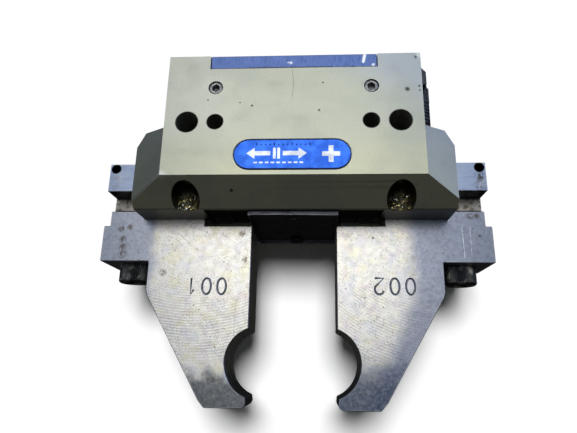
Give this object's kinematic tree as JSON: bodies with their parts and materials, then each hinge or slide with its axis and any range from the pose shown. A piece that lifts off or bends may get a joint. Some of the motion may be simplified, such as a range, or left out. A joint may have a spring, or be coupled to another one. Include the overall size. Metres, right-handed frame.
{
  "type": "pneumatic parallel gripper",
  "caption": "Two-finger parallel gripper: a pneumatic piston and wedge hook slide steel fingers with half-round pockets together under a hard-anodised block body.",
  "frame": {"origin": "centre of the mounting face, on the end cover", "axes": "+X along the fingers' stroke, +Y out of the mounting face, away from the fingers, +Z out of the front face that carries the name plate"},
  "size_m": [0.1988, 0.1685, 0.0903],
  "materials": {
    "anodised": "hard-anodised, fine grain",
    "bare_steel": "milled, slightly heat-tinted, rust specks",
    "jaw_steel": "ground steel with rust smears",
    "cover_metal": "ground",
    "sheet": "bare sheet",
    "black_oxide": "black oxide",
    "zinc": "bright turned",
    "label_blue": "satin print",
    "seal": "matt",
    "switch": "dark satin"
  },
  "bodies": {
    "body": {"body_screw_left_front": "black_oxide", "body_screw_left_rear": "black_oxide", "body_screw_right_front": "black_oxide", "body_screw_right_rear": "black_oxide", "bottom_cover": "sheet", "bottom_screw_front": "black_oxide", "bottom_screw_rear": "black_oxide", "bracket_screw_front": "black_oxide", "bracket_screw_rear": "black_oxide", "cover_screw_left_front": "black_oxide", "cover_screw_left_rear": "black_oxide", "cover_screw_right_front": "black_oxide", "cover_screw_right_rear": "black_oxide", "cover_seal": "seal", "end_cover": "cover_metal", "housing": "anodised", "nameplate": "label_blue", "port_plug_left": "zinc", "port_plug_right": "zinc", "proximity_switch": "switch", "rod_seal": "seal", "switch_bracket": "switch"},
    "drive": {"piston": "zinc", "piston_seal": "seal", "wedge_hook": "bare_steel", "piston_bolt": "black_oxide"},
    "jaw_left": {"base_jaw_left": "jaw_steel", "finger_left": "bare_steel", "finger_screw_left": "black_oxide", "finger_pin_left": "zinc"},
    "jaw_right": {"base_jaw_right": "jaw_steel", "finger_right": "bare_steel", "finger_screw_right": "black_oxide", "finger_pin_right": "zinc"}
  },
  "joints": [
    {"name": "jaw_right_slide", "type": "slide", "parent": "body", "child": "jaw_right", "axis": [-1, 0, 0], "range_m": [0, 0.013]},
    {"name": "jaw_left_slide", "type": "slide", "parent": "body", "child": "jaw_left", "axis": [1, 0, 0], "range_m": [0, 0.013]},
    {"name": "piston_slide", "type": "slide", "parent": "body", "child": "drive", "axis": [0, 1, 0], "range_m": [0, 0.0181]}
  ],
  "couplings": [
    {"joint": "jaw_left_slide", "follows": "jaw_right_slide", "ratio": 1},
    {"joint": "piston_slide", "follows": "jaw_right_slide", "ratio": 1.3846}
  ]
}
